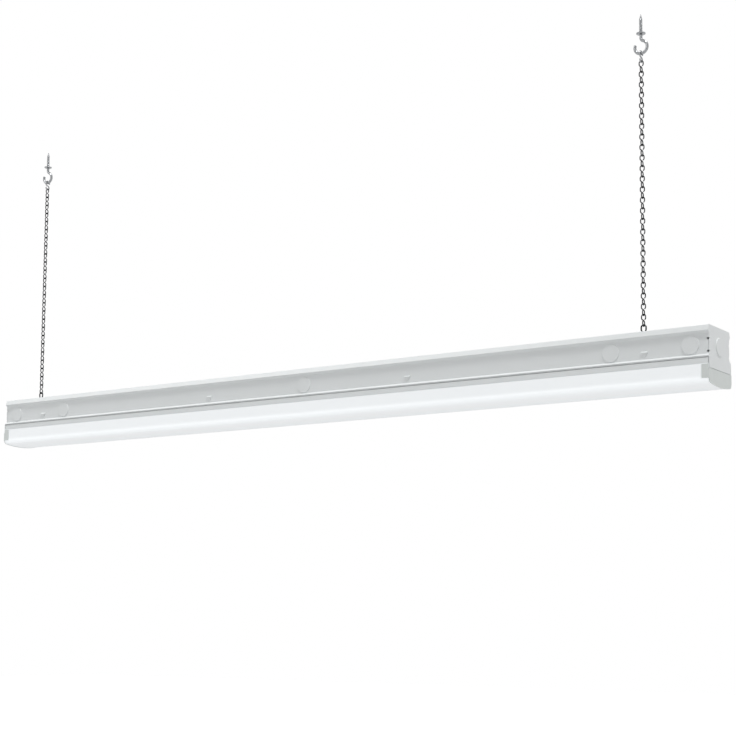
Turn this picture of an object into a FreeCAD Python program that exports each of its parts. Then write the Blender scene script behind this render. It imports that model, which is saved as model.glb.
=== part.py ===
import FreeCAD, Part
import math
import os
import Sketcher

# Hanging shop light: a four-foot enamelled steel channel with a frosted lens, held by two jack chains.
# Row frame: +X along the light, -Y its front, +Z up. The origin is midway between the two ceiling hooks,
# on the ceiling plane. The light's own pieces are drawn about the centre of its top face, then lowered.

# Driving dimensions in millimetres: alias, value, what it measures.
SIZES = [
    # ceiling hooks
    ("hook_thread_length", 25.0, "screw thread above the ceiling plane"),
    ("hook_thread_radius", 2.4, "screw thread, outside"),
    ("hook_point", 6.0, "length of the tapered screw point"),
    ("hook_collar_radius", 6.0, "collar under the ceiling"),
    ("hook_collar", 1.6, "collar thickness"),
    ("hook_wire", 4.0, "ceiling hook wire diameter"),
    ("hook_shank", 6.0, "straight wire from the ceiling plane down to the first bend"),
    ("hook_bend", 5.0, "centreline radius of the bend above the eye"),
    ("hook_eye", 8.5, "centreline radius of the eye"),
    # S-hooks, chains and the hooks in the light's top
    ("hook_play", 0.05, "play between wires that hang in each other"),
    ("s_wire", 2.0, "S-hook wire diameter"),
    ("s_upper", 4.0, "centreline radius of the S-hook's upper loop"),
    ("s_lower", 3.3, "centreline radius of its lower loop"),
    ("link_wire", 1.6, "chain wire diameter"),
    ("link_bow", 2.8, "centreline radius of a link's bows"),
    ("link_loop", 7.3, "centreline height of one loop of a link"),
    ("link_waist", 0.8, "step between the two loops' centrelines at the waist"),
    ("link_count", 25, "links in each chain"),
    ("hanger_upper", 3.3, "centreline radius of the light's hook, upper loop"),
    ("hanger_neck", 2.3, "straight sides of that upper loop"),
    ("hanger_lower", 4.6, "centreline radius of its lower loop"),
    # channel
    ("fixture_length", 1219.2, "over the upper faces of the two end plates"),
    ("fixture_width", 69.0, "over the channel's top bands"),
    ("steel", 0.8, "sheet thickness of channel, tray and end plates"),
    ("band_height", 7.1, "sloping band along the top edge"),
    ("band_lean", 2.0, "how far the band comes in towards the top"),
    ("band_slope", 3.3, "height of the slope under that band"),
    ("side_recess", 2.8, "depth of the flat side face behind the band"),
    ("face_height", 25.3, "flat side face between band slope and bead"),
    ("bead_rise", 2.5, "height of the bead's upper slope"),
    ("bead_fall", 1.8, "height of the bead's lower slope"),
    ("bead_return", 1.5, "how far the lower slope comes back in"),
    ("lip_width", 4.5, "lip turned in under the channel"),
    ("top_bend", 1.5, "outside radius of the channel's top bends"),
    # stamped features of the channel
    ("knockout_radius", 12.0, "raised knockout disc at its foot"),
    ("knockout_raise", 1.0, "how far it stands out"),
    ("knockout_slope", 1.0, "radius lost over that height"),
    ("knockout_drop", 23.7, "knockout centre below the top"),
    ("knockout_end", 24.1, "outer side knockouts from the fixture's end"),
    ("knockout_inner", 130.2, "inner side knockouts from the fixture's end"),
    ("dart_width", 9.0, "triangular dart, along its top edge"),
    ("dart_height", 7.5, "dart, top edge to tip"),
    ("dart_drop", 27.2, "dart top edge below the channel's top"),
    ("dart_raise", 1.4, "how far its top edge stands out"),
    ("dart_bevel", 1.6, "height of the slope over its top edge"),
    ("dart_outer", 84.8, "outer darts from the fixture's end"),
    ("dart_inner", 434.1, "inner darts from the fixture's end"),
    ("hanger_outer", 45.5, "outer hanger slots from the fixture's end"),
    ("hanger_inner", 99.8, "inner hanger slots from the fixture's end"),
    ("hanger_bridge", 6.0, "steel bridge between a pair of slots"),
    ("hanger_slot", 3.2, "slot width along the channel"),
    ("hanger_slot_reach", 6.0, "slot length across the channel"),
    ("mount_hole_radius", 3.2, "surface mounting holes in the top"),
    ("mount_hole_spacing", 609.6, "between the surface mounting holes"),
    # end plates
    ("end_drop", 53.0, "end plate's lower edge below the top"),
    ("end_joggle", 0.9, "how far its lower part stands out"),
    ("end_flange", 12.0, "flanges turned into the channel"),
    ("end_fit", 0.1, "clearance between flanges and channel"),
    ("relief_radius", 1.4, "bend relief notches at the corners of plate and channel"),
    ("relief_depth", 3.0, "length of the notches along the channel"),
    ("relief_slit", 0.5, "slit between the notches, along the plate"),
    ("relief_upper", 17.1, "upper relief notch below the top"),
    ("relief_lower", 32.5, "lower relief notch below the top"),
    ("end_screw_inset", 6.5, "end plate screws from the end"),
    ("end_screw_spread", 18.0, "end plate screws from the centre line"),
    # small screws
    ("screw_shank", 1.7, "screw shank radius"),
    ("screw_head", 3.3, "screw head radius"),
    ("screw_head_height", 1.8, "screw head height"),
    ("screw_fit", 0.1, "clearance round a shank"),
    # LED tray
    ("tray_gap", 0.6, "between the channel's lip and the tray"),
    ("tray_inset", 0.5, "tray flange inside the channel's width, each side"),
    ("tray_upper", 4.0, "upper stretch of the tray's flange"),
    ("tray_lower", 3.0, "lower stretch, stepped out"),
    ("tray_step", 0.3, "step between the two stretches"),
    ("tray_end_gap", 0.6, "tray end to the end plate's outer face"),
    ("rail_inset", 3.6, "lens rails inside the channel's width, each side"),
    ("rail_depth", 4.6, "lens rails below the tray"),
    ("rail_end", 2.6, "rails stop this far from the fixture's end"),
    ("rail_barb", 1.6, "barb on a rail, out"),
    ("rail_barb_height", 0.9, "barb height"),
    ("catch_width", 14.0, "spring clip along the tray"),
    ("catch_foot", 8.0, "spring clip's foot across the tray"),
    ("catch_sheet", 0.6, "spring clip thickness"),
    ("catch_rise", 9.6, "spring clip height over the tray"),
    ("catch_play", 0.3, "spring clip to the channel's lip"),
    # lens and its end caps
    ("lens_wall", 1.2, "lens thickness"),
    ("lens_gap", 0.3, "tray to the lens's upper edge"),
    ("lens_depth", 25.5, "lens height"),
    ("lens_crown", 3.4, "rise of its underside from the middle to the sides"),
    ("lens_corner", 5.5, "outside radius of its lower corners"),
    ("lens_rib", 1.6, "rib inside each wall that rests over a rail's barb"),
    ("lens_rib_height", 0.9, "rib height"),
    ("cap_clear", 0.5, "end cap to the end plate that it passes behind"),
    ("cap_seam", 0.6, "end cap face to the end plate's lower edge"),
    ("cap_rim", 0.5, "end cap face beyond the lens's outline"),
    ("cap_fit", 0.05, "play between cap and lens"),
    ("cap_tab_length", 10.0, "tabs along the lens's sides, from the cap's face"),
    ("cap_tab", 1.0, "tab thickness"),
    ("cap_tab_start", 48.6, "tab top below the channel's top"),
    ("cap_tab_height", 17.4, "tab height"),
    ("cap_plug", 2.0, "plug inside the lens's end"),
    ("cap_plug_gap", 0.3, "plug to the lens's inside and rails"),
    # LED boards
    ("board_width", 20.0, "LED board width"),
    ("board_sheet", 1.6, "LED board thickness"),
    ("board_end", 14.0, "board end to the fixture's end"),
    ("board_split", 1.0, "gap between the two boards"),
    ("chip_width", 3.0, "LED package width"),
    ("chip_height", 0.7, "LED package height"),
    ("chip_margin", 17.0, "first and last LED package from a board's ends"),
    ("chip_count", 34, "LED packages on each board"),
    ("board_screw_count", 5, "screws in each board"),
    ("board_screw_shift", 17.0, "outer screws from each end of a board"),
    ("board_screw_line", 6.0, "screws from the board's centre line"),
    ("link_plug_length", 17.0, "board-to-board link"),
    ("link_plug_width", 8.0, "board-to-board link"),
    ("link_plug_height", 2.6, "board-to-board link"),
    # driver
    ("driver_length", 220.0, "driver case"),
    ("driver_width", 38.0, "driver case"),
    ("driver_height", 24.0, "driver case"),
    ("driver_bevel", 2.0, "bevel of its lower edges"),
    ("driver_start", 20.0, "driver case from the channel's middle"),
    ("driver_ear", 18.0, "base plate beyond each end of the case"),
    ("driver_plate", 1.2, "base plate thickness"),
    # wiring
    ("lead_wire", 1.6, "lead over its insulation"),
    ("lead_exit", 7.0, "leads leave the driver this far below its base"),
    ("supply_spacing", 10.0, "between the line and neutral leads"),
    ("supply_middle", -1.0, "middle of the supply leads across the channel"),
    ("supply_run", 82.0, "supply leads, driver to terminal block"),
    ("terminal_length", 24.0, "terminal block"),
    ("terminal_width", 26.0, "terminal block"),
    ("terminal_height", 14.0, "terminal block"),
    ("ground_line", -15.5, "ground lead across the channel"),
    ("ground_run", 60.0, "driver to the ground screw's centre"),
    ("ground_head_height", 2.4, "ground screw head height"),
    ("plug_run", 50.0, "driver to the disconnect's centre"),
    ("plug_line", 15.5, "disconnect across the channel"),
    ("plug_length", 14.0, "disconnect, along the channel"),
    ("plug_width", 9.0, "disconnect, across"),
    ("plug_rise", 9.5, "plug height over the tray"),
    ("plug_reach", 5.0, "plug under the tray"),
    ("plug_fit", 0.2, "clearance round the plug in the tray"),
    ("socket_height", 11.0, "socket height"),
    ("socket_gap", 0.3, "socket to plug"),
    ("output_spacing", 4.4, "between the two output leads"),
    ("connector_length", 10.0, "board connector along the board"),
    ("connector_width", 6.0, "board connector across"),
    ("connector_height", 3.6, "board connector height"),
    ("connector_line", 5.0, "board connector's centre across the board"),
]


class Size:
    """A length that carries its number and the sheet formula that gives it."""

    def __init__(self, number, formula):
        self.number = number
        self.formula = formula

    def joined(self, sign, other, number, swapped=False):
        left, right = (formula_of(other), self.formula) if swapped else (self.formula, formula_of(other))
        return Size(number, f"({left} {sign} {right})")

    def __add__(self, other):
        return self.joined("+", other, self.number + number_of(other))

    def __radd__(self, other):
        return self.joined("+", other, number_of(other) + self.number, swapped=True)

    def __sub__(self, other):
        return self.joined("-", other, self.number - number_of(other))

    def __rsub__(self, other):
        return self.joined("-", other, number_of(other) - self.number, swapped=True)

    def __mul__(self, other):
        return self.joined("*", other, self.number * number_of(other))

    def __rmul__(self, other):
        return self.joined("*", other, number_of(other) * self.number, swapped=True)

    def __truediv__(self, other):
        return self.joined("/", other, self.number / number_of(other))

    def __neg__(self):
        return Size(-self.number, f"(0 - {self.formula})")


def number_of(value):
    return value.number if isinstance(value, Size) else float(value)


def formula_of(value):
    return value.formula if isinstance(value, Size) else repr(float(value))


def root(value):
    return Size(math.sqrt(value.number), f"sqrt({value.formula})")


class Sheet:
    """The spreadsheet's cells, each read back as a Size by its alias."""

    def __init__(self, document):
        self.cells = document.addObject("Spreadsheet::Sheet", "Sizes")
        for row, (alias, value, meaning) in enumerate(SIZES, start=1):
            self.cells.set(f"A{row}", alias)
            self.cells.set(f"B{row}", str(value))
            self.cells.setAlias(f"B{row}", alias)
            self.cells.set(f"C{row}", meaning)
        document.recompute()

    def __getattr__(self, alias):
        return Size(float(self.cells.get(alias)), f"Sizes.{alias}")


doc = FreeCAD.newDocument("HangingShopLight")
s = Sheet(doc)
nodes = []
places = {}


# Document objects whose sizes and places are bound to the sheet.

def bind(item, name, value):
    item.setExpression(name, formula_of(value))


def place(item, at):
    places[item.Name] = at
    for letter, value in zip("xyz", at):
        bind(item, f".Placement.Base.{letter}", value)
    return item


def box(name, low, size):
    item = doc.addObject("Part::Box", name)
    for side, value in zip(("Length", "Width", "Height"), size):
        bind(item, side, value)
    return place(item, low)


def turned(item, direction):
    item.Placement.Rotation = FreeCAD.Rotation(FreeCAD.Vector(0, 0, 1), FreeCAD.Vector(*direction))


def cylinder(name, start, direction, radius, height):
    item = doc.addObject("Part::Cylinder", name)
    bind(item, "Radius", radius)
    bind(item, "Height", height)
    turned(item, direction)
    return place(item, start)


def cone(name, start, direction, foot, top, height):
    item = doc.addObject("Part::Cone", name)
    bind(item, "Radius1", foot)
    bind(item, "Radius2", top)
    bind(item, "Height", height)
    turned(item, direction)
    return place(item, start)


def fuse(name, parts):
    item = doc.addObject("Part::MultiFuse", name)
    item.Shapes = parts
    return item


def cut(name, base, tools):
    item = doc.addObject("Part::Cut", name)
    item.Base = base
    item.Tool = fuse(name + "_cuts", tools) if len(tools) > 1 else tools[0]
    return item


def group(name, parts):
    item = doc.addObject("Part::Compound", name)
    item.Links = parts
    return item


def node(item, label, at):
    """Names a finished sub-part and moves it, with any place of its own, by at."""
    item.Label = label
    own = places.get(item.Name, (0, 0, 0))
    place(item, [first + second for first, second in zip(own, at)])
    nodes.append(item)


def section_body(name, outline, start, length, rounds=(), bows=()):
    """A body with a section in the Y-Z plane, padded along +X from start.

    outline is its (y, z) corners in order. rounds lists (radius, corners): the long edges at those
    corners get that radius. bows lists (index, z): the side that starts at that corner is an arc about
    the point on the middle line at height z, above the side. The other sides are straight.
    """
    body = doc.addObject("PartDesign::Body", name)
    sketch = body.newObject("Sketcher::SketchObject", name + "_section")
    plane = [origin for origin in body.Origin.OriginFeatures if origin.Role == "YZ_Plane"][0]
    sketch.AttachmentSupport = [(plane, "")]
    sketch.MapMode = "FlatFace"
    bind(sketch, ".AttachmentOffset.Base.z", start)
    corners = [FreeCAD.Vector(number_of(y), number_of(z), 0) for y, z in outline]
    following = corners[1:] + corners[:1]
    centres = dict(bows)
    ends = []
    for index, (a, b) in enumerate(zip(corners, following)):
        if index in centres:
            centre = FreeCAD.Vector(0, number_of(centres[index]), 0)
            angles = [math.atan2(point.y - centre.y, point.x) for point in (a, b)]
            circle = Part.Circle(centre, FreeCAD.Vector(0, 0, 1), (a - centre).Length)
            sketch.addGeometry(Part.ArcOfCircle(circle, min(angles), max(angles)), False)
            ends.append((1, 2) if angles[0] < angles[1] else (2, 1))
        else:
            sketch.addGeometry(Part.LineSegment(a, b), False)
            ends.append((1, 2))
    for index in range(len(corners)):
        other = (index + 1) % len(corners)
        sketch.addConstraint(Sketcher.Constraint("Coincident", index, ends[index][1], other, ends[other][0]))
    fixed = [(index, ends[index][0], kind, value)
             for index, corner in enumerate(outline)
             for kind, value in zip(("DistanceX", "DistanceY"), corner)]
    fixed += [(index, 3, "DistanceY", centre) for index, centre in centres.items()]
    for index, point, kind, value in fixed:
        number = sketch.addConstraint(Sketcher.Constraint(kind, -1, 1, index, point, number_of(value)))
        bind(sketch, f"Constraints[{number}]", value)
    pad = body.newObject("PartDesign::Pad", name + "_pad")
    pad.Profile = sketch
    bind(pad, "Length", length)
    for number, (radius, at) in enumerate(rounds):
        doc.recompute()
        before = body.Tip
        fillet = body.newObject("PartDesign::Fillet", f"{name}_round{number}")
        fillet.Base = (before, long_edges(before.Shape, at))
        bind(fillet, "Radius", radius)
        body.Tip = fillet
    return body


def long_edges(shape, corners):
    """Names of the edges along X that stand at the given (y, z) corners."""
    names = []
    for number, edge in enumerate(shape.Edges, start=1):
        middle = edge.CenterOfMass
        along_x = edge.BoundBox.YLength + edge.BoundBox.ZLength < 1e-6
        for y, z in corners:
            if along_x and math.hypot(middle.y - number_of(y), middle.z - number_of(z)) < 1e-4:
                names.append(f"Edge{number}")
    return names


def mirrored(half):
    """A half outline on the +Y side, followed by its mirror image."""
    return half + [(-y, z) for y, z in reversed(half)]


# Wires and leads: round sections carried along runs and tangent arcs.

def tube(path, wire):
    """A solid round wire along a path of edges."""
    start = path[0].valueAt(path[0].FirstParameter)
    heading = path[0].tangentAt(path[0].FirstParameter)
    ring = Part.Wire([Part.Circle(start, heading, wire / 2).toShape()])
    return Part.Wire(path).makePipeShell([ring], True, False)


def arc(centre, radius, first, last, across, up):
    """An arc edge about centre, from angle first to last in degrees, in the plane of across and up."""
    points = []
    for angle in (first, (first + last) / 2, last):
        turn = math.radians(angle)
        points.append(centre + across * (radius * math.cos(turn)) + up * (radius * math.sin(turn)))
    return Part.Arc(*points).toShape()


def line(a, b):
    return Part.LineSegment(a, b).toShape()


def feature(name, shape):
    item = doc.addObject("Part::Feature", name)
    item.Shape = shape
    return item


def rounded_path(points, radius):
    """Straight runs through the points, with an arc of the radius at each inner point."""
    points = [FreeCAD.Vector(*[number_of(value) for value in point]) for point in points]
    path = []
    start = points[0]
    for before, corner, after in zip(points, points[1:], points[2:]):
        incoming = (corner - before).normalize()
        outgoing = (after - corner).normalize()
        turn = incoming.getAngle(outgoing)
        setback = number_of(radius) * math.tan(turn / 2)
        enter = corner - incoming * setback
        leave = corner + outgoing * setback
        bisector = (outgoing - incoming).normalize()
        middle = corner + bisector * (number_of(radius) / math.cos(turn / 2) - number_of(radius))
        path += [line(start, enter), Part.Arc(enter, middle, leave).toShape()]
        start = leave
    return path + [line(start, points[-1])]


X_WAY = FreeCAD.Vector(1, 0, 0)
Y_WAY = FreeCAD.Vector(0, 1, 0)
Z_WAY = FreeCAD.Vector(0, 0, 1)


def double_hook(upper, neck, lower, wire, across, start):
    """A wire S-hook in the plane of across and Z, whose lower loop's centre is at the origin.

    The upper loop has straight sides of length neck and its wire starts at the angle start. The loops
    open on opposite sides.
    """
    upper, neck, lower = (number_of(value) for value in (upper, neck, lower))
    crossing = lower
    foot = Z_WAY * (crossing + upper)
    crown = Z_WAY * (crossing + upper + neck)
    path = [arc(foot, upper, start, 0, across, Z_WAY)]
    if neck > 0:
        path.append(line(foot + across * upper, crown + across * upper))
    path += [arc(crown, upper, 0, 90, across, Z_WAY), arc(crown, upper, 90, 180, across, Z_WAY)]
    if neck > 0:
        path.append(line(crown - across * upper, foot - across * upper))
    path.append(arc(foot, upper, 180, 270, across, Z_WAY))
    path.append(arc(FreeCAD.Vector(), lower, 90, -90, across, Z_WAY))
    path.append(arc(FreeCAD.Vector(), lower, -90, -195, across, Z_WAY))
    return tube(path, number_of(wire))


# Levels of the hanging set, from the ceiling plane down.

eye_rise = root(s.hook_eye * s.hook_eye + 2 * s.hook_eye * s.hook_bend)
eye_centre = -(s.hook_shank + eye_rise)
eye_seat = eye_centre - s.hook_eye
s_crown = eye_seat + s.hook_wire / 2 + s.s_wire / 2 + s.hook_play
s_crossing = s_crown - 2 * s.s_upper
s_centre = s_crossing - s.s_lower
s_seat = s_centre - s.s_lower
chain_top = s_seat + s.s_wire / 2 + s.link_wire / 2 + s.hook_play
link_reach = 2 * s.link_loop + s.link_waist
link_pitch = link_reach - s.link_wire - s.hook_play
chain_seat = chain_top - link_pitch * (s.link_count - 1) - link_reach
hanger_crown = chain_seat + s.link_wire / 2 + s.s_wire / 2 + s.hook_play
hanger_centre = hanger_crown - 2 * s.hanger_upper - s.hanger_neck - s.hanger_lower
hanger_inside = s.hanger_lower - s.s_wire / 2
bridge_sag = root(hanger_inside * hanger_inside - s.hanger_bridge * s.hanger_bridge / 4)
light_top = hanger_centre - bridge_sag + s.hook_play + s.steel

half_length = s.fixture_length / 2
hook_span = s.fixture_length - s.hanger_outer - s.hanger_inner
light_middle = (s.hanger_inner - s.hanger_outer) / 2
light_place = (light_middle, 0, light_top)


def light_node(item, label):
    return node(item, label, light_place)


# Ceiling hooks: a tapered screw, a collar and a bent wire eye that lies in the X-Z plane.

def ceiling_hook(side, x):
    eye = number_of(s.hook_eye)
    bend = number_of(s.hook_bend)
    drop = number_of(eye_centre)
    lean = math.degrees(math.atan2(eye_rise.number, bend))
    centre = Z_WAY * drop
    bend_centre = FreeCAD.Vector(bend, 0, -number_of(s.hook_shank))
    path = [line(FreeCAD.Vector(), Z_WAY * -number_of(s.hook_shank))]
    path.append(arc(bend_centre, bend, 180, 180 + lean, X_WAY, Z_WAY))
    path.append(arc(centre, eye, lean, -90, X_WAY, Z_WAY))
    path.append(arc(centre, eye, -90, -205, X_WAY, Z_WAY))
    wire = feature(f"hook_{side}_wire", tube(path, number_of(s.hook_wire)))
    collar = cylinder(f"hook_{side}_collar", (0, 0, -s.hook_collar), (0, 0, 1), s.hook_collar_radius,
                      s.hook_collar)
    thread = cylinder(f"hook_{side}_thread", (0, 0, 0), (0, 0, 1), s.hook_thread_radius,
                      s.hook_thread_length - s.hook_point)
    point = cone(f"hook_{side}_point", (0, 0, s.hook_thread_length - s.hook_point), (0, 0, 1),
                 s.hook_thread_radius, s.hook_thread_radius / 4, s.hook_point)
    node(fuse(f"hook_{side}", [wire, collar, thread, point]), f"ceiling_hook_{side}", (x, 0, 0))


ceiling_hook("left", -hook_span / 2)
ceiling_hook("right", hook_span / 2)


# S-hooks: both loops lie in the Y-Z plane, so the upper one turns on the eye about X.

for side, x in (("left", -hook_span / 2), ("right", hook_span / 2)):
    shape = double_hook(s.s_upper, 0, s.s_lower, s.s_wire, Y_WAY, -10)
    node(feature(f"s_hook_{side}", shape), f"s_hook_{side}", (x, 0, s_centre))


# Chains: figure-eight wire links, upper loop in the X-Z plane and lower loop in the Y-Z plane.

def link_shape():
    """One link, hanging from the origin at its crown's centreline."""
    bow = number_of(s.link_bow)
    loop = number_of(s.link_loop)
    solids = []
    for across, crown in ((X_WAY, 0.0), (Y_WAY, -loop - number_of(s.link_waist))):
        upper = Z_WAY * (crown - bow)
        lower = Z_WAY * (crown - loop + bow)
        path = [
            arc(upper, bow, 0, 180, across, Z_WAY),
            line(upper - across * bow, lower - across * bow),
            arc(lower, bow, 180, 360, across, Z_WAY),
            line(lower + across * bow, upper + across * bow),
        ]
        solids.append(tube(path, number_of(s.link_wire)))
    return solids[0].fuse(solids[1])


one_link = link_shape()
for side, x in (("left", -hook_span / 2), ("right", hook_span / 2)):
    links = []
    for index in range(int(number_of(s.link_count))):
        link = one_link.copy()
        link.translate(Z_WAY * (-number_of(link_pitch) * index))
        links.append(link)
    node(feature(f"chain_{side}", Part.makeCompound(links)), f"chain_{side}", (x, 0, chain_top))


# Channel housing: a folded steel section with stamped knockouts, darts and hanger slots.

side_y = s.fixture_width / 2
top_y = side_y - s.band_lean
face_y = side_y - s.side_recess
face_top = s.band_height + s.band_slope
face_bottom = face_top + s.face_height
bead_crest = face_bottom + s.bead_rise
side_height = bead_crest + s.bead_fall
lip_edge = side_y - s.lip_width
lip_inner = side_y - s.steel - s.bead_return * (s.bead_fall - s.steel) / s.bead_fall

channel_half = [
    (top_y, 0),
    (side_y, -s.band_height),
    (face_y, -face_top),
    (face_y, -face_bottom),
    (side_y, -bead_crest),
    (side_y - s.bead_return, -side_height),
    (lip_edge, -side_height),
    (lip_edge, -side_height + s.steel),
    (lip_inner, -side_height + s.steel),
    (side_y - s.steel, -bead_crest),
    (face_y - s.steel, -face_bottom),
    (face_y - s.steel, -face_top),
    (side_y - s.steel, -s.band_height),
    (top_y - s.steel, -s.steel),
]
channel = section_body(
    "channel_section", mirrored(channel_half), -half_length + s.steel, s.fixture_length - 2 * s.steel,
    [(s.top_bend, [(top_y, 0), (-top_y, 0)])],
)

stampings = []
knockout_places = [-half_length + s.knockout_end, -half_length + s.knockout_inner, 0,
                   half_length - s.knockout_inner, half_length - s.knockout_end]
dart_places = [-half_length + s.dart_outer, -half_length + s.dart_inner,
               half_length - s.dart_inner, half_length - s.dart_outer]


def knockout(name, foot, direction):
    """A raised disc that stands out of a sheet; foot is on the sheet's middle plane."""
    return cone(name, foot, direction, s.knockout_radius, s.knockout_radius - s.knockout_slope,
                s.steel / 2 + s.knockout_raise)


def dart(name, x, front):
    """A triangular dart: proudest near its top edge, with a short slope over that and a long one that
    runs out to a point below. Two solids."""
    half = s.dart_width / 2
    low, high = (-s.dart_raise, s.steel / 2) if front else (-s.steel / 2, s.dart_raise)
    halves = []
    for part, turn, reach, tip in (("lower", -90, s.dart_height, 0), ("upper", 90, s.dart_bevel, half)):
        item = doc.addObject("Part::Wedge", f"{name}_{part}")
        inner, outer = (low, high) if part == "lower" else (-high, -low)
        for side, value in (("Xmin", -half), ("Xmax", half), ("Ymin", 0), ("Ymax", reach),
                            ("Zmin", inner), ("Zmax", outer), ("X2min", -tip), ("X2max", tip),
                            ("Z2min", 0), ("Z2max", 0)):
            bind(item, side, value)
        item.Placement.Rotation = FreeCAD.Rotation(X_WAY, turn)
        halves.append(place(item, (x, -face_y if front else face_y, -s.dart_drop)))
    return halves


for index, x in enumerate(knockout_places):
    for face, way in ((-face_y + s.steel / 2, -1), (face_y - s.steel / 2, 1)):
        name = f"knockout_{index}_{'back' if way > 0 else 'front'}"
        stampings.append(knockout(name, (x, face, -s.knockout_drop), (0, way, 0)))
for index, x in enumerate(dart_places):
    stampings += dart(f"dart_{index}_front", x, True) + dart(f"dart_{index}_back", x, False)

channel_holes = []
for inset in (s.hanger_outer, s.hanger_inner):
    for x in (-half_length + inset, half_length - inset):
        for slot in (-s.hanger_bridge / 2 - s.hanger_slot, s.hanger_bridge / 2):
            number = len(channel_holes)
            channel_holes.append(box(f"hanger_slot_{number}",
                                     (x + slot, -s.hanger_slot_reach / 2, -2 * s.steel),
                                     (s.hanger_slot, s.hanger_slot_reach, 3 * s.steel)))

for side, x in (("left", -s.mount_hole_spacing / 2), ("right", s.mount_hole_spacing / 2)):
    channel_holes.append(cylinder(f"mount_hole_{side}", (x, 0, -2 * s.steel), (0, 0, 1),
                                  s.mount_hole_radius, 3 * s.steel))

end_screw_places = [(way * (half_length - s.end_screw_inset), side * s.end_screw_spread)
                    for way in (-1, 1) for side in (-1, 1)]
driver_end = s.driver_start + s.driver_length
driver_screw_places = [s.driver_start - s.driver_ear / 2, driver_end + s.driver_ear / 2]
ground_x = s.driver_start - s.ground_run
hole_radius = s.screw_shank + s.screw_fit


def relief_notches(name, way):
    """The bend relief notches at one end's four corners, through the plate and into the channel."""
    start = way * half_length - (s.relief_depth if way > 0 else s.relief_depth / 2)
    return [cylinder(f"{name}_{index}", (start, edge * face_y, -level), (1, 0, 0), s.relief_radius,
                     s.relief_depth * 1.5)
            for index, (edge, level) in enumerate([(-1, s.relief_upper), (-1, s.relief_lower),
                                                   (1, s.relief_upper), (1, s.relief_lower)])]


def screw_hole(name, x, y, low, height):
    return cylinder(name, (x, y, low), (0, 0, 1), hole_radius, height)


channel_holes += relief_notches("channel_relief_left", -1) + relief_notches("channel_relief_right", 1)
slit_end = half_length - s.steel
for side, x in (("left", -slit_end), ("right", slit_end - s.relief_slit)):
    for edge, y in (("front", -face_y), ("back", face_y - s.steel)):
        channel_holes.append(box(f"relief_slit_{side}_{edge}", (x, y, -s.relief_lower),
                                 (s.relief_slit, s.steel, s.relief_lower - s.relief_upper)))
for index, (x, y) in enumerate(end_screw_places):
    channel_holes.append(screw_hole(f"end_screw_hole_{index}", x, y, -2 * s.steel, 3 * s.steel))
for index, x in enumerate(driver_screw_places):
    channel_holes.append(screw_hole(f"driver_screw_hole_{index}", x, 0, -2 * s.steel, 3 * s.steel))
channel_holes.append(screw_hole("ground_screw_hole", ground_x, s.ground_line, -2 * s.steel, 3 * s.steel))

light_node(cut("channel", fuse("channel_stamped", [channel] + stampings), channel_holes),
           "channel_housing")


# End plates: the channel's outline in steel, its lower part stepped out over the tray's end, with
# flanges that tuck inside the channel and relief notches where they bend.

def end_plate(side, way):
    outer = way * half_length
    upper_half = [
        (top_y, 0),
        (side_y, -s.band_height),
        (face_y, -face_top),
        (face_y, -face_bottom),
        (side_y, -bead_crest),
        (side_y, -side_height + s.steel),
    ]
    low_x = outer - s.steel if way > 0 else outer
    upper = section_body(f"end_{side}_upper", mirrored(upper_half), low_x, s.steel)
    ledge_x = outer - s.steel if way > 0 else outer - s.end_joggle
    ledge = box(f"end_{side}_ledge", (ledge_x, -side_y, -side_height + s.steel / 2),
                (s.steel + s.end_joggle, s.fixture_width, s.steel))
    lower_x = outer + s.end_joggle - s.steel if way > 0 else outer - s.end_joggle
    lower = box(f"end_{side}_lower", (lower_x, -side_y, -s.end_drop),
                (s.steel, s.fixture_width, s.end_drop - side_height + s.steel))
    flange_x = outer - s.steel - s.end_flange if way > 0 else outer
    flange_long = s.end_flange + s.steel
    inner_y = face_y - s.steel - s.end_fit
    flanges = []
    for edge, y in (("front", -inner_y), ("back", inner_y - s.steel)):
        flanges.append(box(f"end_{side}_flange_{edge}",
                           (flange_x, y, -s.relief_lower + s.relief_radius),
                           (flange_long, s.steel, s.relief_lower - s.relief_upper - 2 * s.relief_radius)))
    top_half = s.end_screw_spread + 3 * s.screw_shank
    flanges.append(box(f"end_{side}_flange_top", (flange_x, -top_half, -2 * s.steel - s.end_fit),
                       (flange_long, 2 * top_half, s.steel)))
    disc = knockout(f"end_{side}_knockout", (outer - way * s.steel / 2, 0, -s.knockout_drop), (way, 0, 0))
    plate = fuse(f"end_{side}_plate", [upper, ledge, lower, disc] + flanges)
    holes = relief_notches(f"end_{side}_relief", way)
    for x, y in end_screw_places:
        if x.number * way > 0:
            holes.append(screw_hole(f"end_{side}_hole_{len(holes)}", x, y, -4 * s.steel, 4 * s.steel))
    light_node(cut(f"end_{side}", plate, holes), f"end_plate_{side}")


end_plate("left", -1)
end_plate("right", 1)


def screw(name, x, y, head_low, head_height, shank_low, shank_length):
    """A pan-head screw along Z: a disc head and a plain shank."""
    head = cylinder(name + "_head", (x, y, head_low), (0, 0, 1), s.screw_head, head_height)
    shank = cylinder(name + "_shank", (x, y, shank_low), (0, 0, 1), s.screw_shank, shank_length)
    return fuse(name, [head, shank])


end_screws = [screw(f"end_screw_{index}", x, y, 0, s.screw_head_height, -3 * s.steel, 4 * s.steel)
              for index, (x, y) in enumerate(end_screw_places)]
light_node(group("end_screws", end_screws), "end_plate_screws")


# LED driver: a base plate with ears under the channel's top, a closed case and its two screws.

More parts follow.
